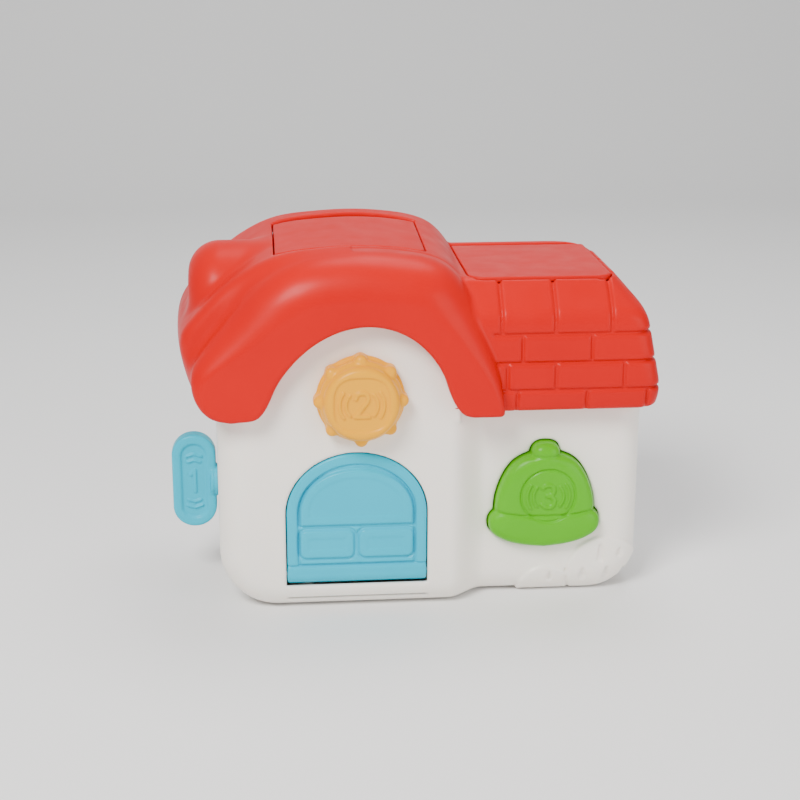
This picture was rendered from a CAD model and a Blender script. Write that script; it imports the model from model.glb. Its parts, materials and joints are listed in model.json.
import bpy, json, math
import numpy as np
from mathutils import Matrix, Vector

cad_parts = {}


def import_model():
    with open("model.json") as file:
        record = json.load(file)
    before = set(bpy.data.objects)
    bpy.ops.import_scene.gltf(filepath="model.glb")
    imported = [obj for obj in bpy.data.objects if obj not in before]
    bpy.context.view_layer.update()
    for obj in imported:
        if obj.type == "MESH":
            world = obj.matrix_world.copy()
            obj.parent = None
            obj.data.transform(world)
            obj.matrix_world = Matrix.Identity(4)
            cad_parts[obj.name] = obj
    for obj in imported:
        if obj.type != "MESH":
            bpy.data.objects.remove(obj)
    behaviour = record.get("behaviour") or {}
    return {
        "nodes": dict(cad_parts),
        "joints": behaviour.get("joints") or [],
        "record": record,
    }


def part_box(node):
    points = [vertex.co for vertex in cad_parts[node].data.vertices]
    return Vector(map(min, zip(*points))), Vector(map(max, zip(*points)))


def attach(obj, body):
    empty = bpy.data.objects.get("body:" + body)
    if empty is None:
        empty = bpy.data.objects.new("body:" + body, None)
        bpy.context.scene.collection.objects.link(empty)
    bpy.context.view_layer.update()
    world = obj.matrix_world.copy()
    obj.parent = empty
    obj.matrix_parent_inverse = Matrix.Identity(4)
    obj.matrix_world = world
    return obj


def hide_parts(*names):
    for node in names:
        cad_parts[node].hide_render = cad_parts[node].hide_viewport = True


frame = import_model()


def note_size():
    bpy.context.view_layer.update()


note_size()
NODES = frame["nodes"]
JOINTS = {j["name"]: j for j in frame["joints"]}


def jpos(name):
    return [v * 1000.0 for v in JOINTS[name]["pos_m"]]


# ------------------------------------------------------------------ distance fields (millimetres)
def smin(a, b, k):
    h = np.clip(0.5 + 0.5 * (b - a) / k, 0.0, 1.0)
    return b * (1 - h) + a * h - k * h * (1 - h)


def smax(a, b, k):
    return -smin(-a, -b, k)


def step01(t):
    t = np.clip(t, 0.0, 1.0)
    return t * t * (3 - 2 * t)


def cubic(pts, n=14):
    """A natural cubic spline through the points, by chord length, as a dense line."""
    p = np.array(pts, float)
    t = np.concatenate([[0], np.cumsum(np.hypot(*np.diff(p, axis=0).T))])
    h = np.diff(t)
    m = len(p)
    A = np.zeros((m, m))
    B = np.zeros((m, 2))
    A[0, 0] = A[-1, -1] = 1
    for i in range(1, m - 1):
        A[i, i - 1], A[i, i], A[i, i + 1] = h[i - 1], 2 * (h[i - 1] + h[i]), h[i]
        B[i] = 6 * ((p[i + 1] - p[i]) / h[i] - (p[i] - p[i - 1]) / h[i - 1])
    M = np.linalg.solve(A, B)
    out = []
    for i in range(m - 1):
        u = np.linspace(0, h[i], n, endpoint=False)[:, None]
        a, b = h[i] - u, u
        out.append(M[i] * a ** 3 / (6 * h[i]) + M[i + 1] * b ** 3 / (6 * h[i]) + (p[i] / h[i] - M[i] * h[i] / 6) * a + (p[i + 1] / h[i] - M[i + 1] * h[i] / 6) * b)
    out.append(p[-1:])
    return np.concatenate(out)


class Map2:
    """Signed distance to a closed outline, worked out once on a grid."""

    def __init__(self, poly, margin=30.0, h=0.5):
        p = np.array(poly, float)
        self.lo = p.min(0) - margin
        self.h = h
        n = np.ceil((p.max(0) + margin - self.lo) / h).astype(int) + 1
        gx, gz = np.meshgrid(self.lo[0] + np.arange(n[0]) * h, self.lo[1] + np.arange(n[1]) * h, indexing="ij")
        d = np.full(gx.shape, 1e9)
        ins = np.zeros(gx.shape, bool)
        q = np.roll(p, -1, axis=0)
        for (ax, az), (bx, bz) in zip(p, q):
            ex, ez = bx - ax, bz - az
            L = ex * ex + ez * ez
            if L < 1e-12:
                continue
            t = np.clip(((gx - ax) * ex + (gz - az) * ez) / L, 0, 1)
            d = np.minimum(d, (gx - ax - t * ex) ** 2 + (gz - az - t * ez) ** 2)
            if az != bz:
                c = (az > gz) != (bz > gz)
                ins ^= c & (gx < ax + (gz - az) * ex / ez)
        self.d = np.where(ins, -1, 1) * np.sqrt(d)
        self.n = n

    def __call__(self, x, z):
        u = (x - self.lo[0]) / self.h
        v = (z - self.lo[1]) / self.h
        uc = np.clip(u, 0, self.n[0] - 1.001)
        vc = np.clip(v, 0, self.n[1] - 1.001)
        i, j = uc.astype(int), vc.astype(int)
        a, b = uc - i, vc - j
        d = self.d
        r = (d[i, j] * (1 - a) + d[i + 1, j] * a) * (1 - b) + (d[i, j + 1] * (1 - a) + d[i + 1, j + 1] * a) * b
        return r + np.hypot(u - uc, v - vc) * self.h


def ext(d2, y, y0, y1, r, r2=None):
    """An outline run from y0 to y1, its rims rounded: r at y0, r2 at y1."""
    r2 = r if r2 is None else r2
    mid = (y0 + y1) / 2
    rr = np.where(y < mid, r, r2)
    a = d2 + rr
    b = np.abs(y - mid) - (y1 - y0) / 2 + rr
    return np.minimum(np.maximum(a, b), 0) + np.hypot(np.maximum(a, 0), np.maximum(b, 0)) - rr


def boxd(x, y, z, x0, x1, y0, y1, z0, z1, r=0.3):
    a = np.abs(x - (x0 + x1) / 2) - (x1 - x0) / 2 + r
    b = np.abs(y - (y0 + y1) / 2) - (y1 - y0) / 2 + r
    c = np.abs(z - (z0 + z1) / 2) - (z1 - z0) / 2 + r
    o = np.sqrt(np.maximum(a, 0) ** 2 + np.maximum(b, 0) ** 2 + np.maximum(c, 0) ** 2)
    return o + np.minimum(np.maximum(np.maximum(a, b), c), 0) - r


def rrect2(x, z, x0, x1, z0, z1, r):
    a = np.abs(x - (x0 + x1) / 2) - (x1 - x0) / 2 + r
    b = np.abs(z - (z0 + z1) / 2) - (z1 - z0) / 2 + r
    return np.hypot(np.maximum(a, 0), np.maximum(b, 0)) + np.minimum(np.maximum(a, b), 0) - r


def ell(x, y, z, c, r, rot=0.0):
    """An ellipsoid; rot turns it about its depth axis, in degrees."""
    x, y, z = x - c[0], y - c[1], z - c[2]
    if rot:
        k, s = math.cos(math.radians(rot)), math.sin(math.radians(rot))
        x, y = x * k + y * s, -x * s + y * k
    q = np.sqrt((x / r[0]) ** 2 + (y / r[1]) ** 2 + (z / r[2]) ** 2)
    g = np.sqrt((x / r[0] ** 2) ** 2 + (y / r[1] ** 2) ** 2 + (z / r[2] ** 2) ** 2)
    return q * (q - 1) / np.maximum(g, 1e-6)


def line2(u, v, p, q, inside):
    """Signed distance to the endless line through p and q, negative on the side of `inside`."""
    ex, ey = q[0] - p[0], q[1] - p[1]
    L = math.hypot(ex, ey)
    s = 1.0 if (inside[0] - p[0]) * ey - (inside[1] - p[1]) * ex < 0 else -1.0
    return s * ((u - p[0]) * ey - (v - p[1]) * ex) / L


def strokes(u, v, lines, r):
    d = np.full(np.shape(u), 1e3)
    for ln in lines:
        for (ax, ay), (bx, by) in zip(ln, ln[1:]):
            ex, ey = bx - ax, by - ay
            t = np.clip(((u - ax) * ex + (v - ay) * ey) / (ex * ex + ey * ey + 1e-9), 0, 1)
            d = np.minimum(d, np.hypot(u - ax - t * ex, v - ay - t * ey))
    return d - r


def arc(r, a0, a1, n=9):
    return [(r * math.cos(math.radians(a0 + (a1 - a0) * i / n)), r * math.sin(math.radians(a0 + (a1 - a0) * i / n))) for i in range(n + 1)]


DIG = {
    1: [[(-1.7, 3.0), (0.4, 4.9), (0.4, -4.8)]],
    2: [[(-2.5, 2.7), (-2.0, 4.1), (-0.8, 4.9), (0.8, 4.9), (2.1, 4.1), (2.5, 2.7), (2.0, 1.2), (-2.6, -4.7), (2.7, -4.7)]],
    3: [[(-2.4, 3.7), (-1.3, 4.8), (0.6, 4.9), (2.1, 4.0), (2.3, 2.3), (1.3, 0.7), (-0.5, 0.3)],
        [(-0.5, 0.3), (1.5, -0.2), (2.6, -1.7), (2.3, -3.6), (0.8, -4.8), (-1.2, -4.7), (-2.6, -3.5)]],
}
WAVES = [arc(6.3, 138, 222), arc(8.8, 145, 215), arc(6.3, -42, 42), arc(8.8, -35, 35)]


# ------------------------------------------------------------------ meshing
def surface(f, lo, hi, h, newton=3):
    lo, hi = np.array(lo, float), np.array(hi, float)
    B = 12
    nb = -(-(np.ceil((hi - lo) / h).astype(int) + 1) // B)
    bi = np.stack(np.meshgrid(*[np.arange(k) for k in nb], indexing="ij"), -1).reshape(-1, 3)
    dc = f(*(lo + (bi * B + (B - 1) / 2) * h).T)
    act = bi[np.abs(dc) < (B + 1) / 2 * h * math.sqrt(3) * 1.7]
    F = np.repeat(np.repeat(np.repeat(np.where(dc < 0, -1e3, 1e3).astype(np.float32).reshape(nb), B, 0), B, 1), B, 2)
    V6 = F.reshape(nb[0], B, nb[1], B, nb[2], B).transpose(0, 2, 4, 1, 3, 5)
    off = np.stack(np.meshgrid(*[np.arange(B)] * 3, indexing="ij"), -1).reshape(-1, 3)
    for k in range(0, len(act), 400):
        a = act[k:k + 400]
        P = lo + (a[:, None, :] * B + off[None]).reshape(-1, 3) * h
        V6[a[:, 0], a[:, 1], a[:, 2]] = f(*P.T).reshape(-1, B, B, B).astype(np.float32)
    S = F < 0
    c = sum(S[i:S.shape[0] - 1 + i, j:S.shape[1] - 1 + j, k:S.shape[2] - 1 + k].astype(np.uint8) for i in (0, 1) for j in (0, 1) for k in (0, 1))
    mixed = np.argwhere((c > 0) & (c < 8))
    idx = np.full(c.shape, -1, np.int64)
    idx[tuple(mixed.T)] = np.arange(len(mixed))
    cor = np.array([(i, j, k) for i in (0, 1) for j in (0, 1) for k in (0, 1)])
    val = np.stack([F[tuple((mixed + o).T)] for o in cor], 1).astype(float)
    acc = np.zeros((len(mixed), 3))
    cnt = np.zeros(len(mixed))
    for a in range(8):
        for b in range(a + 1, 8):
            if np.abs(cor[a] - cor[b]).sum() != 1:
                continue
            x = (val[:, a] < 0) != (val[:, b] < 0)
            t = val[x, a] / (val[x, a] - val[x, b])
            acc[x] += cor[a] + t[:, None] * (cor[b] - cor[a])
            cnt[x] += 1
    P = lo + (mixed + acc / cnt[:, None]) * h
    quads = []
    for ax in range(3):
        u, v = (ax + 1) % 3, (ax + 2) % 3
        s0 = [slice(0, None)] * 3
        s1 = [slice(0, None)] * 3
        s0[ax], s1[ax] = slice(0, -1), slice(1, None)
        A, Bv = S[tuple(s0)], S[tuple(s1)]
        e = np.argwhere(A != Bv)
        e = e[(e[:, u] > 0) & (e[:, v] > 0) & (e[:, u] < S.shape[u] - 1) & (e[:, v] < S.shape[v] - 1)]
        ins = A[tuple(e.T)]
        q = []
        for du, dv in ((0, 0), (-1, 0), (-1, -1), (0, -1)):
            o = e.copy()
            o[:, u] += du
            o[:, v] += dv
            q.append(idx[tuple(o.T)])
        q = np.stack(q, 1)
        q[~ins] = q[~ins][:, ::-1]
        quads.append(q)
    Q = np.concatenate(quads)
    Q = Q[(Q >= 0).all(1)]
    for _ in range(newton):
        e = 0.06
        g = np.stack([(f(*(P + o).T) - f(*(P - o).T)) / (2 * e) for o in np.eye(3) * e], 1)
        d = f(*P.T)
        mv = g * (d / np.maximum((g * g).sum(1), 0.15))[:, None]
        ln = np.linalg.norm(mv, axis=1)
        mv *= np.minimum(1, 0.6 * h / np.maximum(ln, 1e-9))[:, None]
        P = P - mv
    return P, Q


def mesh_object(name, P, Q, material):
    m = bpy.data.meshes.new(name)
    m.vertices.add(len(P))
    m.vertices.foreach_set("co", (np.asarray(P, float) * 0.001).astype(np.float32).ravel())
    k = Q.shape[1]
    m.loops.add(len(Q) * k)
    m.loops.foreach_set("vertex_index", Q.astype(np.int32).ravel())
    m.polygons.add(len(Q))
    m.polygons.foreach_set("loop_start", (np.arange(len(Q)) * k).astype(np.int32))
    m.polygons.foreach_set("use_smooth", np.ones(len(Q), bool))
    m.update(calc_edges=True)
    m.validate()
    m.materials.append(material)
    o = bpy.data.objects.new(name, m)
    bpy.context.scene.collection.objects.link(o)
    return o


def build(name, f, lo, hi, h, material, body, nodes=()):
    P, Q = surface(f, lo, hi, h)
    o = mesh_object(name, P, Q, material)
    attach(o, body)
    if nodes:
        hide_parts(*nodes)
    return o


# ------------------------------------------------------------------ materials
def plastic(name, color, shade=0.90, rough=(0.26, 0.38), grain=900.0, bump=0.05, coat=0.04, sss=0.0, spec=0.16, flow=26.0):
    m = bpy.data.materials.new(name)
    m.use_nodes = True
    nt = m.node_tree
    N, L = nt.nodes, nt.links
    b = N["Principled BSDF"]
    tc = N.new("ShaderNodeTexCoord")
    big = N.new("ShaderNodeTexNoise")
    big.inputs["Scale"].default_value = flow
    big.inputs["Detail"].default_value = 3.0
    big.inputs["Roughness"].default_value = 0.55
    ramp = N.new("ShaderNodeValToRGB")
    ramp.color_ramp.elements[0].position = 0.30
    ramp.color_ramp.elements[1].position = 0.72
    ramp.color_ramp.elements[0].color = (color[0] * shade, color[1] * shade, color[2] * shade, 1)
    ramp.color_ramp.elements[1].color = (*color, 1)
    fine = N.new("ShaderNodeTexNoise")
    fine.inputs["Scale"].default_value = grain
    fine.inputs["Detail"].default_value = 4.0
    mid = N.new("ShaderNodeTexNoise")
    mid.inputs["Scale"].default_value = grain * 0.12
    mid.inputs["Detail"].default_value = 2.0
    mr = N.new("ShaderNodeMapRange")
    mr.inputs["From Min"].default_value, mr.inputs["From Max"].default_value = 0.3, 0.7
    mr.inputs["To Min"].default_value, mr.inputs["To Max"].default_value = rough
    add = N.new("ShaderNodeMath")
    add.operation = "MULTIPLY_ADD"
    add.inputs[1].default_value = 0.5
    bp = N.new("ShaderNodeBump")
    bp.inputs["Strength"].default_value = bump
    bp.inputs["Distance"].default_value = 0.0002
    for n in (big, fine, mid):
        L.new(tc.outputs["Object"], n.inputs["Vector"])
    L.new(big.outputs["Fac"], ramp.inputs["Fac"])
    L.new(ramp.outputs["Color"], b.inputs["Base Color"])
    L.new(mid.outputs["Fac"], mr.inputs["Value"])
    L.new(mr.outputs["Result"], b.inputs["Roughness"])
    L.new(fine.outputs["Fac"], add.inputs[0])
    L.new(mid.outputs["Fac"], add.inputs[2])
    L.new(add.outputs[0], bp.inputs["Height"])
    L.new(bp.outputs["Normal"], b.inputs["Normal"])
    b.inputs["Specular IOR Level"].default_value = spec
    b.inputs["Coat Weight"].default_value = coat
    b.inputs["Coat Roughness"].default_value = 0.22
    if sss:
        b.inputs["Subsurface Weight"].default_value = sss
        b.inputs["Subsurface Radius"].default_value = (1.0, 0.6, 0.4)
        b.inputs["Subsurface Scale"].default_value = 0.0012
    return m


def metal(name, color, rough=(0.22, 0.36), scale=700.0):
    m = bpy.data.materials.new(name)
    m.use_nodes = True
    nt = m.node_tree
    N, L = nt.nodes, nt.links
    b = N["Principled BSDF"]
    tc = N.new("ShaderNodeTexCoord")
    mp = N.new("ShaderNodeMapping")
    mp.inputs["Scale"].default_value = (0.15, 1.0, 1.0)
    n = N.new("ShaderNodeTexNoise")
    n.inputs["Scale"].default_value = scale
    n.inputs["Detail"].default_value = 3.0
    ramp = N.new("ShaderNodeValToRGB")
    ramp.color_ramp.elements[0].color = (color[0] * 0.8, color[1] * 0.8, color[2] * 0.82, 1)
    ramp.color_ramp.elements[1].color = (*color, 1)
    mr = N.new("ShaderNodeMapRange")
    mr.inputs["To Min"].default_value, mr.inputs["To Max"].default_value = rough
    bp = N.new("ShaderNodeBump")
    bp.inputs["Strength"].default_value = 0.12
    bp.inputs["Distance"].default_value = 0.0001
    L.new(tc.outputs["Object"], mp.inputs["Vector"])
    L.new(mp.outputs["Vector"], n.inputs["Vector"])
    L.new(n.outputs["Fac"], ramp.inputs["Fac"])
    L.new(ramp.outputs["Color"], b.inputs["Base Color"])
    L.new(n.outputs["Fac"], mr.inputs["Value"])
    L.new(mr.outputs["Result"], b.inputs["Roughness"])
    L.new(n.outputs["Fac"], bp.inputs["Height"])
    L.new(bp.outputs["Normal"], b.inputs["Normal"])
    b.inputs["Metallic"].default_value = 1.0
    return m


MAT = {
    "red": plastic("roof_red", (0.58, 0.0, 0.0), 0.94, (0.34, 0.44), spec=0.12),
    "white": plastic("house_white", (0.95, 0.89, 0.815), 0.975, (0.30, 0.42), sss=0.10, spec=0.4, coat=0.1),
    "white_under": plastic("base_white", (0.74, 0.70, 0.655), 0.95, (0.42, 0.55), coat=0.05),
    "cyan": plastic("door_cyan", (0.0, 0.46, 0.64), 0.94, (0.28, 0.38)),
    "yellow": plastic("knob_yellow", (0.88, 0.38, 0.0), 0.95, (0.26, 0.36)),
    "green": plastic("bell_green", (0.085, 0.42, 0.0), 0.94, (0.28, 0.38)),
    "room": plastic("room_cream", (0.72, 0.69, 0.63), 0.95, (0.40, 0.52), coat=0.05),
    "gear": plastic("works_grey", (0.42, 0.43, 0.45), 0.88, (0.42, 0.58), coat=0.0, sss=0.0),
    "rabbit": plastic("rabbit_pink", (0.88, 0.42, 0.47), 0.94, (0.30, 0.42)),
    "bear": plastic("bear_brown", (0.42, 0.17, 0.055), 0.90, (0.32, 0.44)),
    "cat": plastic("cat_orange", (0.90, 0.36, 0.05), 0.93, (0.30, 0.42)),
    "steel": metal("screw_steel", (0.62, 0.62, 0.63)),
    "spring": metal("spring_steel", (0.50, 0.50, 0.52), (0.28, 0.42), 1400.0),
}
EYE = plastic("eye_black", (0.012, 0.011, 0.012), 0.7, (0.12, 0.20), coat=0.8, sss=0.0)
CREAM = plastic("muzzle_cream", (0.86, 0.74, 0.58), 0.95, (0.34, 0.46))
BLUSH = plastic("blush_rose", (0.86, 0.22, 0.24), 0.93, (0.34, 0.46))
SLOT = {s["node"]: s["material_slot"] for s in frame["record"]["subparts"]}
for n, o in NODES.items():
    o.data.materials.clear()
    o.data.materials.append(MAT[SLOT[n]])

# ------------------------------------------------------------------ outlines (x, z)
ARCH = [(14.8, 83.5), (11.5, 87.0), (8.3, 92.5), (5.8, 99.8), (1.8, 107.2), (-8.5, 117.2), (-25.5, 121.8),
        (-43.5, 116.3), (-56.0, 105.3), (-60.9, 98.0), (-64.1, 91.0), (-67.4, 86.3), (-71.0, 83.9), (-75.5, 83.0)]
BAND = [(-81.0, 83.3), (-88.0, 87.0), (-93.0, 94.5), (-93.5, 103.5), (-89.0, 111.5), (-83.0, 119.0), (-73.5, 131.0),
        (-63.0, 140.3), (-52.0, 145.8), (-38.0, 148.4), (-25.5, 148.9), (-10.0, 147.8), (1.3, 145.6), (7.8, 142.3),
        (14.5, 135.0), (20.5, 124.5), (25.0, 111.0), (28.0, 98.0), (30.0, 83.3)]
VAULT = [(-95.0, 84.0), (-100.8, 91.5), (-102.0, 102.5), (-99.5, 112.5), (-93.0, 121.5), (-84.0, 131.0), (-72.0, 140.0),
         (-59.0, 145.8), (-45.0, 147.9), (-28.0, 148.8), (-10.0, 147.7), (1.3, 145.5), (7.8, 142.6), (14.5, 136.0),
         (20.5, 125.5), (25.0, 111.5), (28.0, 97.5), (30.0, 84.0)]
GABLE = [(16.0, 90.0), (13.2, 94.0), (10.6, 101.0), (6.2, 110.0), (-6.0, 121.2), (-25.5, 126.0), (-46.0, 120.4),
         (-59.5, 108.5), (-65.0, 99.8), (-68.5, 93.5), (-72.0, 90.0)]


def closed_down(pts, z=60.0):
    c = cubic(pts)
    return np.concatenate([c, [[c[-1][0], z], [c[0][0], z]]])


M_ARCH = Map2(closed_down(ARCH))
M_BAND = Map2(closed_down(BAND))
M_VAULT = Map2(closed_down(VAULT))
M_GABLE = Map2(closed_down(GABLE, 80.0))
VC = cubic(VAULT)
VTOP = VC[int(np.argmin(VC[:, 0])):]


def rise(y):
    return (y + 32.0) / 78.0 * 4.5


def vault_z(x, y):
    return np.interp(x, VTOP[:, 0], VTOP[:, 1]) + rise(y)


def dv(x, y, z):
    """Distance to the vault's skin."""
    return M_VAULT(x, z - rise(y))


# ------------------------------------------------------------------ the white body
TX0, BX1 = -85.0, 90.6


def body_out(x, y, z):
    s = 10.0 * step01((x - 9.0) / 16.0)
    yy = np.where(y < 0, y - s * np.clip(-y / 20.0, 0, 1), y)
    cx, hx = (TX0 + BX1) / 2, (BX1 - TX0) / 2
    r = np.where(z < 80, np.where(x < cx, 24.0, 21.0), 12.0)
    cz, hz = 80.0, 80.0
    a, b = np.abs(x - cx) - hx + r, np.abs(z - cz) - hz + np.where(z < 80, r, 0.01)
    d2 = np.hypot(np.maximum(a, 0), np.maximum(b, 0)) + np.minimum(np.maximum(a, b), 0) - r
    d2 = np.where(z < 80, d2, np.abs(x - cx) - hx)
    return ext(d2, yy, -41.0, 41.0, 12.0)


AX_DY, AX_DZ = jpos("front_door_hinge")[1:]
KX, KZ = jpos("sun_knob_turn")[0], jpos("sun_knob_turn")[2]
KEY_Y, KEY_Z = jpos("turn_key_turn")[1:]
BELL_H = [(0.0, 68.2), (3.2, 67.7), (5.3, 65.9), (6.0, 63.2), (11.6, 60.6), (16.0, 55.6), (19.0, 48.9),
          (20.4, 43.0), (20.7, 38.4), (22.4, 36.6), (23.2, 33.5), (22.4, 30.2), (18.8, 27.0), (10.6, 24.0), (0.0, 22.7)]
BX = jpos("bell_press")[0]


def bell_outline():
    a = cubic([(x, z) for x, z in BELL_H[:4]])
    b = cubic([(x, z) for x, z in BELL_H[3:9]])
    c = cubic([(x, z) for x, z in BELL_H[8:]])
    right = np.concatenate([a, b[1:], c[1:]])
    left = right[::-1][1:-1] * [-1, 1]
    return np.concatenate([right, left]) + [BX, 0]


M_BELL = Map2(bell_outline(), 14.0, 0.35)
DX0, DX1 = -57.6, -0.5


def door_outline(x0, x1, z0, zs, zt):
    t = np.linspace(0, np.pi, 60)
    c = (x0 + x1) / 2
    top = np.stack([c + (x1 - x0) / 2 * np.cos(t), zs + (zt - zs) * np.sin(t)], 1)
    return np.concatenate([[[x0, z0], [x1, z0]], top])


M_DOORWAY = Map2(door_outline(DX0 - 0.4, DX1 + 0.4, 11.1, 42.0, 68.2), 20.0)
M_DOOR = Map2(door_outline(DX0, DX1, AX_DZ, 42.0, 67.8), 20.0)
M_INNER = Map2(door_outline(DX0 + 4.9, DX1 - 4.9, AX_DZ + 4.6, 42.0, 62.9), 20.0)
M_ARCHPANEL = Map2(door_outline(-51.9, -6.3, 37.6, 43.5, 61.0), 20.0)


def relief(x, z):
    big = np.hypot(x - 76.0, z - 8.7) - 16.6
    small = np.hypot(x - 51.0, z - 1.0) - 12.0
    r = np.minimum(big, small)
    h = 1.15 * step01(-r / 0.9 + 0.2)
    seam = np.exp(-((big / 0.5) ** 2)) * (small < 1.0)
    h = h - 0.8 * seam
    for cx, za, zb, w in ((74.0, 21.5, 15.2, 1.5), (82.0, 19.5, 17.0, 1.1), (66.5, 10.9, 7.3, 1.3), (76.8, 11.2, 7.4, 1.3), (52.5, 9.6, 7.0, 1.1), (85.0, 9.5, 7.0, 1.0)):
        t = np.clip((za - z) / (za - zb), 0, 1)
        dd = np.hypot(x - cx, z - (za + (zb - za) * t)) - w * (0.35 + 0.65 * t)
        h = h - 1.0 * step01(0.5 - dd / 0.6)
    return h


def f_body(x, y, z):
    o = body_out(x, y, z)
    skin = o - relief(x, z) * (y < -15)
    d = smax(skin, -(o + 2.5), 0.4)
    d = smax(d, z - 95.0, 0.6)
    d = np.maximum(d, -z)
    g = ext(M_GABLE(x, z), y, -41.0, -38.5, 0.3)
    g = np.maximum(g, np.maximum(-73.0 - x, x - 13.0))
    d = smin(d, g, 0.5)
    # doorway: jamb, then the opening with a soft edge
    jamb = ext(np.abs(M_DOORWAY(x, z) - 1.2) - 1.2, y, -39.5, -34.0, 0.4)
    d = smin(d, np.where(z > 8.5, jamb, 5.0), 1.0)
    for xa, xb in ((DX0 - 3.8, DX0 - 0.4), (DX1 + 0.4, DX1 + 3.8)):
        d = smin(d, boxd(x, y, z, xa, xb, -40.0, -31.6, 9.0, 21.5, 0.5), 0.6)
    d = smax(d, -np.maximum(M_DOORWAY(x, z), y + 30.5), 1.1)
    d = smax(d, -boxd(x, y, z, DX0 - 0.4, DX1 + 0.4, -38.5, -30.0, 5.0, 12.0, 0.2), 0.4)
    # bell opening
    d = smax(d, -np.maximum(M_BELL(x, z) - 0.45, np.maximum(y + 27.5, -40 - y)), 0.9)
    # bearings of knob and key
    rk = np.hypot(x - KX, z - KZ)
    d = smin(d, np.maximum(rk - 8.0, np.maximum(-39.5 - y, y + 35.6)), 0.5)
    d = np.maximum(d, -np.maximum(rk - 4.55, y + 30))
    ry = np.hypot(y - KEY_Y, z - KEY_Z)
    d = smin(d, np.maximum(ry - 6.6, np.maximum(-83.5 - x, x + 74.0)), 0.5)
    d = np.maximum(d, -np.maximum(ry - 4.05, x + 70))
    # recess of the base plate
    bo = np.minimum(rrect2(x, y, -57, 3, -26, 26, 5), rrect2(x, y, -10, 67, -16, 26, 5))
    d = smin(d, np.maximum(np.abs(bo + 0.8) - 3.4, np.maximum(2.2 - z, z - 4.2)), 0.3)
    d = np.maximum(d, -np.maximum(bo, z - 2.2))
    d = np.maximum(d, -np.maximum(bo + 4.2, np.maximum(z - 6.0, -1 - z)))
    for sx, sy in ((-50.0, -19.0), (-50.0, 19.0), (60.0, 19.0), (60.0, -9.0)):
        q = np.hypot(x - sx, y - sy)
        d = smin(d, np.maximum(q - 4.0, np.maximum(2.2 - z, z - 18.0)), 0.4)
        d = np.maximum(d, -np.maximum(q - 1.45, np.maximum(z - 16.5, 1.0 - z)))
    # lugs under the roof screws
    for sx, sy in ((-76.0, 28.0), (-76.0, -26.0), (83.5, 28.0), (83.5, -18.0)):
        xa, xb = (TX0 + 1, sx + 4.5) if sx < 0 else (sx - 4.5, BX1 - 1)
        d = smin(d, boxd(x, y, z, xa, xb, sy - 4.5, sy + 4.5, 91.0, 95.0, 0.4), 0.5)
        d = np.maximum(d, -np.maximum(np.hypot(x - sx, y - sy) - 1.6, 89.0 - z))
    return d


# ------------------------------------------------------------------ the roof
ROWS = [116.1, 104.6, 93.2]
JOINX = [(116.1, 140.0, (28.6, 50.1, 72.7)), (104.6, 116.1, (37.1, 65.0)), (93.2, 104.6, (31.1, 50.7, 78.3)), (80.0, 93.2, (35.3, 63.5, 88.0))]
JOINY = [(116.1, 140.0, (-22.0, 2.0, 26.0)), (104.6, 116.1, (-34.0, -10.0, 14.0, 38.0)), (93.2, 104.6, (-22.0, 2.0, 26.0)), (80.0, 93.2, (-34.0, -10.0, 14.0, 38.0))]


def wing(x, y, z):
    fr = smax(line2(y, z, (-44.2, 92.0), (-43.0, 123.5), (0, 100)), line2(y, z, (-43.0, 123.5), (-31.0, 137.0), (0, 100)), 2.6)
    fr = smax(fr, line2(y, z, (-44.6, 92.0), (-41.5, 83.0), (0, 100)), 2.5)
    bk = smax(y - 46.0, line2(y, z, (46.2, 91.0), (44.0, 83.0), (0, 100)), 2.0)
    rt = smax(line2(x, z, (94.5, 92.0), (88.2, 123.5), (0, 100)), line2(x, z, (88.2, 123.5), (76.5, 137.0), (0, 100)), 2.6)
    rt = smax(rt, line2(x, z, (94.7, 91.0), (92.6, 83.0), (0, 100)), 2.5)
    side = smax(smax(fr, rt, 8.0), smax(bk, rt, 8.0), 0.1)
    top = z - 137.0
    w = smax(side, top, 1.6)
    w = np.where(y > 20, smax(side, top, 7.0), w)
    g = np.zeros(np.shape(x))
    for r in ROWS:
        g = np.maximum(g, np.exp(-((z - r) / 0.70) ** 2))
    onf = np.clip((np.maximum(fr, bk) + 3.0) / 1.5, 0, 1)
    onr = np.clip((rt + 3.0) / 1.5, 0, 1)
    for za, zb, xs in JOINX:
        m = (z > za) & (z < zb)
        for xx in xs:
            g = np.maximum(g, np.exp(-((x - xx) / 0.70) ** 2) * m * onf * (1 - onr * 0.999))
    for za, zb, ys in JOINY:
        m = (z > za) & (z < zb)
        for yy in ys:
            g = np.maximum(g, np.exp(-((y - yy) / 0.70) ** 2) * m * onr)
    g = g * np.clip((137.2 - z) / 1.2, 0, 1) * np.clip((x - 24.0) / 2.0, 0, 1)
    return w + 1.15 * g


DORM = (2.0, 124.0, 22.8)


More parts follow.
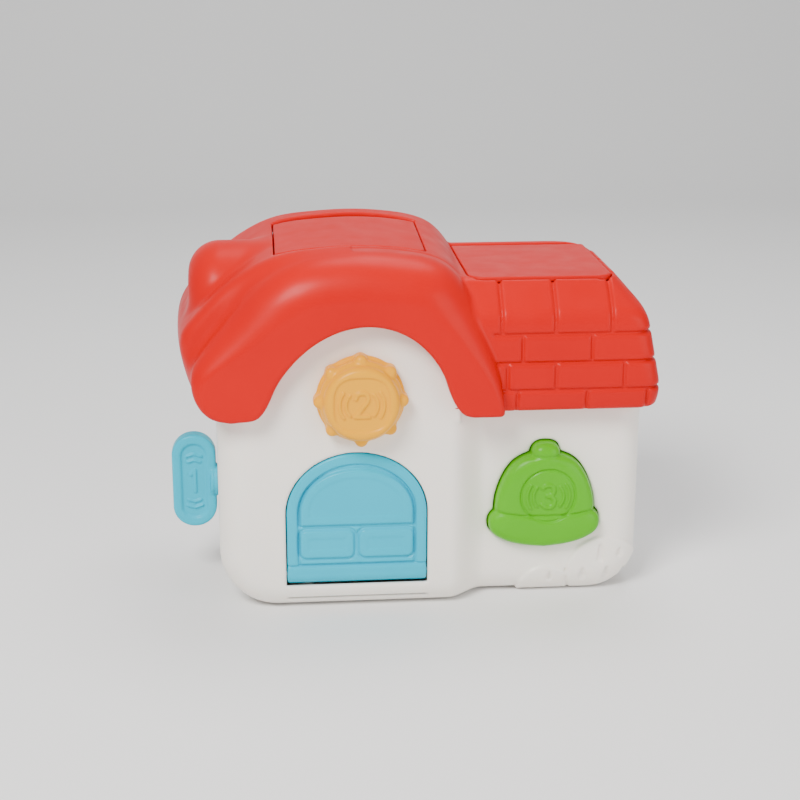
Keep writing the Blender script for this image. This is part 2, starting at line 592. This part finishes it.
def solid_roof(x, y, z, grooves=True):
    v = dv(x, y, z)
    v = smax(v, y - 46.0, 9.0)
    v = smax(v, -((x + 92.2) + 0.155 * (y + 32.0) + 0.43 * (z - 91.0)) / 1.0996, 9.0)
    v = smax(v, -32.0 - y, 7.0)
    b2 = M_BAND(x, z)
    R = 2.5 + 15.0 * step01((z - 86.0) / 44.0)
    p, q = b2 + R, (-50.0 - y) + R
    b = np.minimum(np.maximum(p, q), 0) + np.hypot(np.maximum(p, 0), np.maximum(q, 0)) - R
    run = b
    b = smax(b, y + 29.0, 1.5)
    w = wing(x, y, z)
    w = np.maximum(w, 2.0 - x)
    dm = np.hypot(y - DORM[0], z - DORM[1]) - DORM[2]
    a, c = dm + 13.0, (-95.2 - x) + 13.0
    dm = np.minimum(np.maximum(a, c), 0) + np.hypot(np.maximum(a, 0), np.maximum(c, 0)) - 13.0
    dm = np.maximum(dm, x + 50.0)
    s = smin(v, dm, 3.0)
    s = smin(s, w, 1.4)
    return smin(s, b, np.where(x < -30.0, 5.0, 1.6)), b, run


def dome_rear(x):
    return 24.0 + (vault_z(np.clip(x, -60, 0), 24.0) - 144.6) + 0.45


def f_roof(x, y, z):
    s, b, run = solid_roof(x, y, z)
    ar = M_ARCH(x, z)
    # the opening in front of the gable, with a soft inner edge
    d = smax(s, -np.maximum(ar, y + 41.2), 2.2)
    hol = np.maximum(np.maximum(s + 2.5, -41.2 - y), 86.5 - z)
    hol2 = np.maximum(np.maximum(np.maximum(b, -ar) + 2.5, 86.5 - z), y + 30.0)
    through = np.maximum(np.maximum(np.maximum(run, dv(x, y, z)) + 2.5, np.maximum(-41.2 - y, y + 24.0)), 86.5 - z)
    d = smax(d, 84.0 - z, 2.4)
    d = smax(d, -np.minimum(np.minimum(hol, hol2), through), 0.4)
    d = np.maximum(d, -np.maximum(body_out(x, y, z) - 0.3, z - 92.0))
    dome = np.maximum(np.maximum(-60.4 - x, x - 0.4), np.maximum(-24.4 - y, y - dome_rear(x)))
    rr = rrect2(x, y, -60.4, 0.4, -24.4, 24.0, 3.2)
    dome = np.where(y < 0, rr, dome)
    d = smax(d, -np.maximum(dome, 138.0 - z), 0.8)
    fl = np.where(y < 0, rrect2(x, y, 16.6, 75.4, -31.4, 30.0, 6.3), np.maximum(np.maximum(16.6 - x, x - 75.4), y - 36.95))
    d = smax(d, -np.maximum(fl, 133.0 - z), 0.8)
    d = np.maximum(d, -np.maximum(np.hypot(y - 24.0, z - 144.6) - 1.4, np.maximum(-64.2 - x, x - 4.2)))
    d = np.maximum(d, -np.maximum(np.hypot(y - 32.0, z - 132.5) - 1.4, np.maximum(13.2 - x, x - 78.4)))
    return np.maximum(d, y - 45.98)


# ------------------------------------------------------------------ lids and door
def f_dome(x, y, z):
    v = dv(x, y, z)
    sh = smax(v, -(v + 2.5), 0.3)
    plan = np.where(y < 0, rrect2(x, y, -60.0, 0.0, -24.0, 40.0, 2.8), np.maximum(-60.0 - x, x))
    d = smax(sh, np.maximum(plan, y - 24.0), 0.8)
    q = np.hypot(y - 24.0, z - 144.6)
    rx = vault_z(np.clip(x, -60, 0), 24.0) - 144.6 - 0.02
    bar = smax(q - rx, np.maximum(-60.0 - x, x), 0.8)
    d = np.minimum(d, bar)
    d = np.maximum(d, -boxd(x, y, z, -35.0, -25.0, 14.5, 33.0, 130.0, 143.2, 0.2))
    d = np.maximum(d, -np.maximum(q - 3.1, np.maximum(-35.0 - x, x + 25.0)))
    lug = smin(boxd(x, y, z, -36.0, -28.6, -21.2, -19.2, 134.6, 147.0, 0.3), boxd(x, y, z, -36.0, -28.6, -22.6, -19.2, 134.6, 137.0, 0.4), 0.4)
    d = smin(d, np.maximum(lug, v + 1.0), 0.5)
    return np.maximum(d, -(q - 1.3))


def f_flat(x, y, z):
    plan = np.where(y < 0, rrect2(x, y, 17.0, 75.0, -31.0, 40.0, 6.0), np.maximum(17.0 - x, x - 75.0))
    d = ext(np.maximum(plan, y - 32.0 - 2.0), z, 134.5, 137.0, 0.55)
    d = np.maximum(d, y - 32.0)
    q = np.hypot(y - 32.0, z - 132.5)
    bar = smax(q - 4.49, np.maximum(17.0 - x, x - 75.0), 0.8)
    d = np.minimum(d, bar)
    d = np.maximum(d, -boxd(x, y, z, 41.0, 51.0, 22.5, 41.0, 120.0, 131.1, 0.2))
    d = np.maximum(d, -np.maximum(q - 3.1, np.maximum(41.0 - x, x - 51.0)))
    lug = smin(boxd(x, y, z, 44.0, 51.5, -28.9, -27.6, 123.0, 135.2, 0.3), boxd(x, y, z, 44.0, 51.5, -30.3, -27.6, 123.0, 125.2, 0.3), 0.4)
    d = smin(d, lug, 0.5)
    return np.maximum(d, -(q - 1.3))


def f_door(x, y, z):
    m = M_DOOR(x, z)
    sk = -41.0 - y
    groove = np.exp(-((M_INNER(x, z)) / 0.55) ** 2) * (z > AX_DZ + 4.0)
    roll = np.exp(-((z - (AX_DZ + 4.0)) / 0.6) ** 2)
    pan = np.minimum(M_ARCHPANEL(x, z), np.minimum(rrect2(x, z, -52.2, -30.4, 23.4, 35.2, 2.6), rrect2(x, z, -28.2, -6.2, 23.4, 35.2, 2.6)))
    up = 0.9 * step01(-pan / 1.1 + 0.35)
    hol = 0.35 * step01(-(pan + 2.6) / 1.5)
    front = sk - 0.62 * np.minimum(up, 1.0) + 0.9 * np.exp(-((pan - 0.7) / 0.6) ** 2) + hol + 1.0 * groove + 0.9 * roll
    d = smax(smax(m, front, 1.6), y + 38.0, 0.5)
    d = np.maximum(d, AX_DZ - z)
    q = np.hypot(y - AX_DY, z - AX_DZ)
    bar = smax(q - 4.18, np.maximum(DX0 - x, x - DX1), 1.0)
    d = np.minimum(d, bar)
    rib = boxd(x, y, z, -46.0, -12.0, -38.5, -36.8, 22.0, 46.0, 0.4)
    d = smin(d, rib, 0.6)
    d = np.maximum(d, -np.maximum(q - 3.0, np.maximum(-34.0 - x, x + 24.0)))
    d = np.maximum(d, -boxd(x, y, z, -34.0, -24.0, AX_DY, AX_DY + 6.0, AX_DZ - 3, AX_DZ + 3, 0.2))
    lug = np.minimum(boxd(x, y, z, -55.0, -52.4, -38.5, -26.0, 46.0, 50.0, 0.3), boxd(x, y, z, -55.0, -52.4, -28.4, -26.0, 46.0, 54.2, 0.3))
    d = smin(d, lug, 0.4)
    return np.maximum(d, -(q - 1.3))


# ------------------------------------------------------------------ controls
def f_knob(x, y, z):
    u, v = x - KX, z - KZ
    r = np.hypot(u, v)
    back = -41.35
    drum = ext(r - 16.6, y, back - 7.6, back, 2.4, 0.6)
    cap = ext(r - 15.2, y, back - 12.0, back - 1.0, 3.6, 0.5)
    d = smin(drum, cap, 1.6)
    fl = ext(r - 17.7, y, back - 2.4, back, 0.8, 0.6)
    d = smin(d, fl, 1.2)
    a = np.arctan2(v, u)
    k = (a - math.pi / 2 + math.pi / 8) % (math.pi / 4) - math.pi / 8
    nu, nv = r * np.sin(k), r * np.cos(k) - 16.3
    nub = ext(np.hypot(nu, nv) - 2.6, y, back - 7.4, back - 0.2, 2.3, 0.8)
    d = smin(d, nub, 1.2)
    dish = (np.abs(u) ** 3 + np.abs(v) ** 3) ** (1 / 3.0) - 11.3
    sink = 1.1 * step01(-dish / 1.2 + 0.3)
    mark = np.minimum(strokes(u, v, DIG[2], 0.75), strokes(u, v, WAVES, 0.5))
    lift = 0.95 * step01(0.5 - mark / 0.7)
    front = (back - 12.0) - y + sink - lift * (r < 11.5)
    d = smax(d, front, 1.0)
    d = smin(d, np.maximum(r - 4.5, np.maximum(back - 1 - y, y + 35.3)), 0.3)
    nose = np.maximum(np.maximum(r - 3.0, v - 2.0), np.maximum(-36.0 - y, y + 32.8))
    return np.maximum(np.minimum(d, nose), -np.maximum(r - 1.25, -42.0 - y))


def f_key(x, y, z):
    w = y - KEY_Y
    bow2 = rrect2(x, z, -104.8, -86.4, 24.4, 65.2, 9.1)
    d = ext(bow2, w, -4.0, 4.0, 1.7)
    inner = rrect2(x, z, -104.8 + 3.4, -86.4 - 3.4, 24.4 + 3.6, 65.2 - 3.6, 5.7)
    mx, mz = -95.6, 44.8
    mark = np.minimum(strokes((x - mx) / 0.8, (z - mz) / 0.95, DIG[1], 0.85), strokes(x - mx, z - mz, [
        [(-2.6, 8.4), (0.0, 9.3), (2.6, 8.4)], [(-3.2, 10.9), (0.0, 12.0), (3.2, 10.9)],
        [(-2.6, -8.4), (0.0, -9.3), (2.6, -8.4)], [(-3.2, -10.9), (0.0, -12.0), (3.2, -10.9)]], 0.5))
    sink = 1.25 * step01(-inner / 1.6 + 0.25) - 0.75 * step01(0.5 - mark / 0.7)
    d = smax(d, np.abs(w) - 4.0 + sink, 0.8)
    r = np.hypot(w, z - KEY_Z)
    col = smax(r - 6.2, np.maximum(-88.8 - x, x + 85.35), 0.6)
    d = smin(d, col, 1.4)
    for c in (-87.8, -86.2):
        d = smin(d, np.hypot(r - 6.2, x - c) - 0.7, 0.4)
    d = smin(d, np.maximum(r - 4.0, np.maximum(-87 - x, x + 71.3)), 0.2)
    nose = np.maximum(np.maximum(r - 2.8, z - KEY_Z - 1.9), np.maximum(-72.0 - x, x + 68.5))
    return np.maximum(np.minimum(d, nose), -np.maximum(r - 1.25, -78.0 - x))


def f_bell(x, y, z):
    m = M_BELL(x, z)
    u, v = x - BX, z - 46.0
    front = -38.0 - y
    # the bell swells a little between crown and brim
    puff = 0.9 * step01(-m / 9.0) - 0.9
    brim = np.exp(-((z - (37.0 + 0.012 * u * u * 0.4)) / 0.75) ** 2)
    neck = np.exp(-((z - 62.6) / 0.7) ** 2)
    uu = u - 0.8
    r = np.hypot(uu, v)
    ring = np.exp(-((r - 11.2) / 0.6) ** 2)
    mark = np.minimum(strokes(uu, v, DIG[3], 0.8), strokes(uu, v, WAVES, 0.5))
    lift = 0.6 * step01(0.5 - mark / 0.7) * (r < 10.6)
    f = front - puff + 0.9 * brim + 0.6 * neck + 1.0 * ring + 0.35 * step01((11.0 - r) / 1.0) - 1.3 * lift
    d = smax(m, f, 4.4)
    d = smax(d, y + 28.2, 0.4)
    fl = np.maximum(m - 1.8, np.maximum(-28.2 - y, y + 26.5))
    d = np.minimum(d, fl)
    for px in (BX - 14.5, BX + 14.5):
        d = np.minimum(d, smax(np.hypot(x - px, z - 40.0) - 2.5, np.maximum(-27 - y, y + 13.0), 0.6))
    return d


# ------------------------------------------------------------------ animals; local x right, y up the figure, z to its face
def animal(h, w, d, ear, pad):
    zc = d * 0.5
    hr = w * 0.40
    long = ear == "long"
    hy = h - hr * (1.0 if long else 0.98) - (h * 0.20 if long else h * 0.05)
    info = {"hy": hy, "hr": hr, "zc": zc}

    def f(x, y, z):
        ax = np.abs(x)
        b = ell(x, y, z, (0, h * 0.27, zc), (w * 0.41, h * 0.28, d * 0.46))
        hd = ell(x, y, z, (0, hy, zc), (hr, hr * 0.90, d * 0.46))
        f_ = smin(b, hd, 1.6)
        if long:
            e = ell(ax, y, z, (hr * 0.46, hy + hr * 1.02, zc * 0.9), (hr * 0.25, h - hy - hr * 1.02, d * 0.17), -6)
            e = smax(e, -ell(ax, y, z, (hr * 0.47, hy + hr * 1.05, zc * 0.9 + d * 0.17), (hr * 0.13, (h - hy - hr * 1.0) * 0.7, d * 0.07), -6), 0.4)
        elif ear == "round":
            e = ell(ax, y, z, (hr * 0.72, hy + hr * 0.70, zc * 0.9), (hr * 0.33, hr * 0.33, d * 0.16))
            e = smax(e, -ell(ax, y, z, (hr * 0.74, hy + hr * 0.72, zc * 0.9 + d * 0.16), (hr * 0.19, hr * 0.19, d * 0.06)), 0.4)
        else:
            t = np.clip((y - (hy + hr * 0.40)) / (hr * 0.85), 0, 1)
            e = np.hypot(ax - (hr * 0.55 + t * hr * 0.22), (z - zc * 0.95) * 1.5) - hr * 0.36 * (1 - t * 0.85)
            e = smax(e, np.abs(y - (hy + hr * 0.72)) - hr * 0.42, 0.6) * 0.8
        f_ = smin(f_, e, 1.0)
        foot = ell(ax, y, z, (w * 0.27, h * 0.10, zc + d * 0.20), (w * 0.165, h * 0.10, d * 0.27), 12)
        arm = ell(ax, y, z, (w * 0.32, h * 0.34, zc + d * 0.22), (w * 0.105, h * 0.15, d * 0.15), -24)
        f_ = smin(smin(f_, foot, 0.7), arm, 0.7)
        if ear != "point":
            f_ = smin(f_, boxd(x, y, z, *pad, 0.6), 1.2)
        else:
            f_ = smin(f_, smax(np.hypot(x, z - zc) - 9.5, np.abs(y - 1.2) - 1.2, 0.5), 0.8)
            tail = ell(x, y, z, (w * 0.38, h * 0.22, zc * 0.6), (w * 0.10, h * 0.20, d * 0.10), -18)
            f_ = smin(f_, tail, 1.0)
        return f_
    return f, info


def put(f, at, flip):
    def g(x, y, z):
        X, Y, Z = x - at[0], y - at[1], z - at[2]
        return f(X, -Y, -Z) if flip else f(X, Y, Z)
    return g


def world(p, at, flip):
    return (p[0] + at[0], (-p[1] if flip else p[1]) + at[1], (-p[2] if flip else p[2]) + at[2])


def figure(name, node, body, slot_name, h, w, d, ear, at, flip, clip, pad, muzzle, cheeks):
    f, k = animal(h, w, d, ear, pad)
    hy, hr, zc = k["hy"], k["hr"], k["zc"]
    g = put(f, at, flip)
    a, b = world((-w * 0.6, -1.0, -1.0), at, flip), world((w * 0.6, h + 2, d + 2), at, flip)
    lo, hi = np.minimum(a, b) - 1.5, np.maximum(a, b) + 1.5
    build(name, lambda x, y, z: np.maximum(g(x, y, z), clip(x, y, z)), lo, hi, 0.6, MAT[slot_name], body, (node,))
    head = lambda x, y, z: ell(x, y, z, (0, hy, zc), (hr, hr * 0.90, d * 0.46))
    # muzzle and tummy in a lighter colour, eyes and nose in black, cheeks in rose
    spots = [("muzzle", muzzle, lambda x, y, z: ell(x, y, z, (0, hy - hr * 0.30, zc + d * 0.32), (hr * 0.42, hr * 0.31, d * 0.17))),
             ("tummy", muzzle, lambda x, y, z: np.maximum(ell(x, y, z, (0, h * 0.27, zc), (w * 0.41 + 0.25, h * 0.28 + 0.25, d * 0.46 + 0.3)),
                                                          np.maximum(np.hypot(x / (w * 0.21), (y - h * 0.29) / (h * 0.17)) * 3 - 3, zc - z))),
             ("eyes", EYE, lambda x, y, z: ell(np.abs(x), y, z, (hr * 0.42, hy + hr * 0.16, zc + d * 0.405), (hr * 0.125, hr * 0.155, d * 0.075))),
             ("nose", EYE, lambda x, y, z: ell(x, y, z, (0, hy - hr * 0.14, zc + d * 0.475), (hr * 0.14, hr * 0.09, d * 0.045))),
             ("cheeks", cheeks, lambda x, y, z: np.maximum(ell(x, y, z, (0, hy, zc), (hr + 0.22, hr * 0.90 + 0.22, d * 0.46 + 0.22)),
                                                           np.maximum(np.hypot(np.abs(x) - hr * 0.66, y - hy + hr * 0.24) - hr * 0.17, zc - z)))]
    for part, m, fn in spots:
        gg = put(fn, at, flip)
        build("%s_%s" % (name, part), gg, lo, hi, 0.5, m, body, ())


build("house", f_body, (-88, -44, -1.5), (94, 43, 128), 0.95, MAT["white"], "house", ("house_body",))
build("roof", f_roof, (-105, -52, 82), (97, 48, 155), 0.78, MAT["red"], "house", ("roof_shell",))
build("lid_dome", f_dome, (-62, -26, 133), (2, 34, 155), 0.6, MAT["red"], "dome_lid", ("dome_lid",))
build("lid_flat", f_flat, (15, -33, 121), (77, 38, 139), 0.6, MAT["red"], "flat_lid", ("flat_lid",))
build("door", f_door, (-60, -43.5, 10), (2, -24, 70), 0.48, MAT["cyan"], "front_door", ("front_door",))
build("knob", f_knob, (KX - 21, -55, KZ - 21), (KX + 21, -31, KZ + 21), 0.46, MAT["yellow"], "sun_knob", ("sun_knob",))
build("key", f_key, (-106.5, -8, 22), (-67, 8, 67), 0.46, MAT["cyan"], "turn_key", ("turn_key",))
build("bell", f_bell, (BX - 27, -40, 19), (BX + 27, -12, 71), 0.48, MAT["green"], "bell_button", ("bell_button",))
figure("rabbit", "dome_figure", "dome_lid", "rabbit", 34.4, 32.0, 17.0, "long", (-30.0, 16.2, 146.0), True,
       lambda x, y, z: dv(x, y, z) + 2.45, (-8, 8, 4, 26, -6, 6), CREAM, BLUSH)
figure("bear", "flat_figure", "flat_lid", "bear", 45.0, 38.0, 17.0, "round", (46.0, 21.4, 134.5), True,
       lambda x, y, z: z - 134.5, (-9, 9, 6, 34, -1, 6), CREAM, BLUSH)
figure("cat", "door_figure", "front_door", "cat", 38.0, 33.0, 24.0, "point", (-29.05, -36.8, AX_DZ + 6.4), False,
       lambda x, y, z: -36.8 - y, (-9, 9, 0, 2, 2, 20), CREAM, BLUSH)


# ------------------------------------------------------------------ springs as real coils
def tube(name, pts, r, body, nodes, sides=14):
    pts = np.array(pts, float)
    n = len(pts)
    t = np.zeros_like(pts)
    t[1:-1] = pts[2:] - pts[:-2]
    t[0], t[-1] = pts[1] - pts[0], pts[-1] - pts[-2]
    t /= np.linalg.norm(t, axis=1)[:, None]
    u = np.cross(t[0], (0.31, 0.53, 0.79))
    P = []
    ang = np.arange(sides) * 2 * np.pi / sides
    for i in range(n):
        u = u - t[i] * u.dot(t[i])
        u /= np.linalg.norm(u)
        w = np.cross(t[i], u)
        P.append(pts[i] + r * (np.cos(ang)[:, None] * u + np.sin(ang)[:, None] * w))
    # rounded ends
    P = [pts[0] - t[0] * r * 0.45 + (p - pts[0]) * 0.55 for p in [P[0]]] + P + [pts[-1] + t[-1] * r * 0.45 + (P[-1] - pts[-1]) * 0.55]
    P[0] = pts[0] - t[0] * r * 0.45 + (P[1] - pts[0]) * 0.55
    m = len(P)
    V = np.concatenate(P + [[pts[0] - t[0] * r * 0.6], [pts[-1] + t[-1] * r * 0.6]])
    F = []
    for i in range(m - 1):
        for k in range(sides):
            F.append((i * sides + k, i * sides + (k + 1) % sides, (i + 1) * sides + (k + 1) % sides, (i + 1) * sides + k))
    a, b = m * sides, m * sides + 1
    tri = [(a, (k + 1) % sides, k) for k in range(sides)] + [(b, (m - 1) * sides + k, (m - 1) * sides + (k + 1) % sides) for k in range(sides)]
    me = bpy.data.meshes.new(name)
    me.from_pydata((V * 0.001).tolist(), [], F + tri)
    me.polygons.foreach_set("use_smooth", np.ones(len(me.polygons), bool))
    me.materials.append(MAT["spring"])
    me.update()
    o = bpy.data.objects.new(name, me)
    bpy.context.scene.collection.objects.link(o)
    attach(o, body)
    if nodes:
        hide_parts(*nodes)
    return o


def helix(r, pitch, turns, per=36):
    i = np.arange(int(turns * per) + 1)
    return np.stack([r * np.cos(2 * np.pi * i / per), r * np.sin(2 * np.pi * i / per), pitch * i / per], 1)


def torsion(name, x0, x1, y, z, leg, body, node, r=2.15):
    turns = int((x1 - x0) / 0.75)
    h = helix(r, (x1 - x0) / turns, turns)
    pts = np.stack([x0 + h[:, 2], y + h[:, 1], z - h[:, 0]], 1)
    pre = [pts[0] + np.array([0, -leg * i / 6, 0]) for i in range(6, 0, -1)]
    post = [pts[-1] + np.array([0, leg * i / 6, 0]) for i in range(1, 7)]
    tube(name, list(pre) + list(pts) + list(post), 0.3, body, (node,))


torsion("coil_dome", -34.0, -26.0, 24.0, 144.6, 6.0, "dome_lid", "dome_spring")
torsion("coil_flat", 42.0, 50.0, 32.0, 132.5, 4.6, "flat_lid", "flat_spring")
torsion("coil_door", -33.0, -25.0, AX_DY, AX_DZ, 1.1, "front_door", "door_spring")
rp = jpos("bell_rocker_turn")
torsion("coil_rocker", 50.9, 54.3, rp[1], rp[2], 7.0, "bell_rocker", "rocker_spring", 2.4)
h = helix(2.1, 1.8, 8)
lo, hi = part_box("dome_latch_spring")
cy, cz = (lo[1] + hi[1]) * 500, (lo[2] + hi[2]) * 500
tube("coil_dome_latch", np.stack([-12.6 + h[:, 2], cy + h[:, 1], cz - h[:, 0]], 1), 0.35, "house", ("dome_latch_spring",))
h = helix(2.1, 1.84, 8)
lo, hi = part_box("door_latch_spring")
tube("coil_door_latch", h + [(lo[0] + hi[0]) * 500, (lo[1] + hi[1]) * 500, 66.45], 0.35, "house", ("door_latch_spring",))
h = helix(3.3, 1.5, 5)
for i, s in enumerate((-14.5, 14.5)):
    tube("coil_bell_%d" % (i + 1), np.stack([BX + s + h[:, 0], -26.1 + h[:, 2], 40.0 - h[:, 1]], 1), 0.3, "house", ("bell_springs",) if i == 0 else ())

# ------------------------------------------------------------------ floor, light, camera
fm = bpy.data.meshes.new("floor")
S, R, n = 1.6, 0.5, 24
rows = [(-2.2, 0.0), (0.9, 0.0)] + [(0.9 + R * math.sin(math.pi / 2 * i / n), R - R * math.cos(math.pi / 2 * i / n)) for i in range(1, n + 1)] + [(0.9 + R, 2.6)]
fv = [(sx * S * 1.4, y, z - 0.0002) for y, z in rows for sx in (-1, 1)]
fm.from_pydata(fv, [], [(2 * i, 2 * i + 1, 2 * i + 3, 2 * i + 2) for i in range(len(rows) - 1)])
fm.polygons.foreach_set("use_smooth", np.ones(len(fm.polygons), bool))
floor = bpy.data.objects.new("floor", fm)
bpy.context.scene.collection.objects.link(floor)
fmat = plastic("floor_paper", (0.86, 0.86, 0.86), 0.985, (0.62, 0.75), 300.0, 0.02, 0.0, 0.0, 0.25, 3.0)
fm.materials.append(fmat)


def area(name, loc, target, size, power, color=(1, 1, 1)):
    l = bpy.data.lights.new(name, "AREA")
    l.shape = "RECTANGLE"
    l.size, l.size_y = size
    l.energy = power
    l.color = color
    o = bpy.data.objects.new(name, l)
    o.location = loc
    o.rotation_mode = "QUATERNION"
    o.rotation_quaternion = (Vector(target) - Vector(loc)).to_track_quat("-Z", "Y")
    bpy.context.scene.collection.objects.link(o)
    return o


area("key_light", (-0.50, -0.80, 0.95), (0, 0, 0.07), (0.45, 0.45), 21.0, (1.0, 0.985, 0.96))
area("fill_light", (0.80, -0.75, 0.30), (0, 0, 0.07), (0.7, 0.7), 5.0, (0.97, 0.985, 1.0))
area("top_light", (0.15, 0.25, 1.0), (0, 0.0, 0.10), (0.6, 0.5), 6.0)
wd = bpy.data.worlds.new("studio")
wd.use_nodes = True
wd.node_tree.nodes["Background"].inputs["Color"].default_value = (1.0, 1.0, 1.0, 1)
wd.node_tree.nodes["Background"].inputs["Strength"].default_value = 0.42
bpy.context.scene.world = wd

az, pitch, roll = math.radians(-5.16), math.radians(16.81), math.radians(0.13)
back = Vector((math.sin(az) * math.cos(pitch), -math.cos(az) * math.cos(pitch), math.sin(pitch)))
fwd = -back
right = fwd.cross(Vector((0, 0, 1))).normalized()
up = right.cross(fwd)
Rv = math.cos(roll) * right + math.sin(roll) * up
Uv = -math.sin(roll) * right + math.cos(roll) * up
cam = bpy.data.cameras.new("camera")
cam.sensor_width = 36.0
cam.lens = 1631.0 / 800.0 * 36.0
cam.clip_start, cam.clip_end = 0.01, 20.0
co = bpy.data.objects.new("camera", cam)
co.rotation_mode = "QUATERNION"
co.matrix_world = Matrix(((Rv.x, Uv.x, back.x, -0.06753), (Rv.y, Uv.y, back.y, -0.65973), (Rv.z, Uv.z, back.z, 0.27764), (0, 0, 0, 1)))
bpy.context.scene.collection.objects.link(co)
bpy.context.scene.camera = co

note_size()
